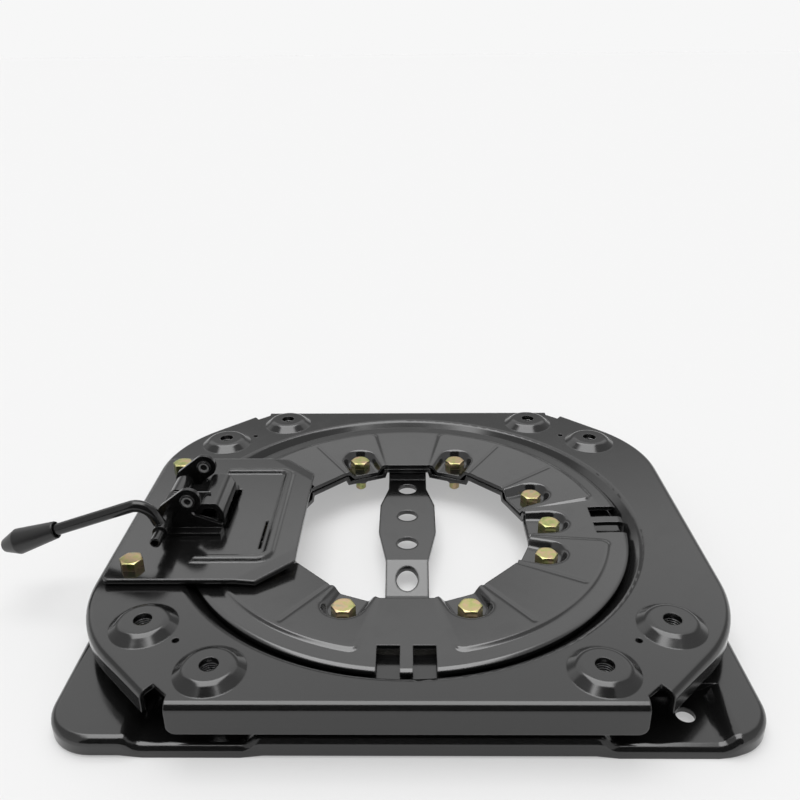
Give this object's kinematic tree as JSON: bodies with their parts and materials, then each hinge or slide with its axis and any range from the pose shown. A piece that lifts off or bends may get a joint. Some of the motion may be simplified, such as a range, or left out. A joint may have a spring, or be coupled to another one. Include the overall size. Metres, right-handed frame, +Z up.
{
  "type": "swivel seat base",
  "caption": "Pressed-steel swivel base for a camper seat: a seat plate turns on a ball race over a floor plate, and a lever drops a toothed pawl into slots to lock it.",
  "frame": {"origin": "on the turning axis, level with the boss faces that the seat rests on, in the middle of the seat bolts", "axes": "+Z up along the turning axis, +X away from the lever, -Y to the front"},
  "size_m": [0.4581, 0.354, 0.0745],
  "materials": {
    "black_paint": "satin",
    "yellow_zinc": "satin",
    "bright_steel": "satin",
    "black_rubber": "matte",
    "pale_plastic": "matte"
  },
  "bodies": {
    "base": {"base_plate": "black_paint", "retainer_disc": "black_paint", "centre_strap": "black_paint", "disc_bolts": "yellow_zinc", "disc_nuts": "black_paint"},
    "turret": {"swivel_plate": "black_paint", "seat_nuts": "black_paint", "glide_ring": "pale_plastic", "lock_plate": "black_paint", "lock_plate_spacers": "yellow_zinc", "lock_plate_bolts": "yellow_zinc", "lock_plate_nuts": "black_paint", "latch_wall_front": "black_paint", "latch_wall_back": "black_paint", "stop_rivets": "black_paint", "torsion_spring": "bright_steel"},
    "ball_ring": {"ball_cage": "pale_plastic", "bearing_balls": "bright_steel"},
    "release_lever": {"handle_shaft": "black_paint", "shaft_clip": "bright_steel", "pawl": "black_paint", "handle_rod": "black_paint", "handle_grip": "black_rubber"}
  },
  "joints": [
    {"name": "swivel", "type": "hinge", "parent": "base", "child": "turret", "pos_m": [0, 0, -0.0142], "axis": [0, 0, 1], "range_deg": [0, 180]},
    {"name": "ball_ring_turn", "type": "hinge", "parent": "base", "child": "ball_ring", "pos_m": [0, 0, -0.0196], "axis": [0, 0, 1], "range_deg": [0, 90]},
    {"name": "release", "type": "hinge", "parent": "turret", "child": "release_lever", "pos_m": [-0.1575, 0, 0.0134], "axis": [0, 1, 0], "range_deg": [0, 15]}
  ],
  "couplings": [
    {"joint": "ball_ring_turn", "follows": "swivel", "ratio": 0.5}
  ]
}
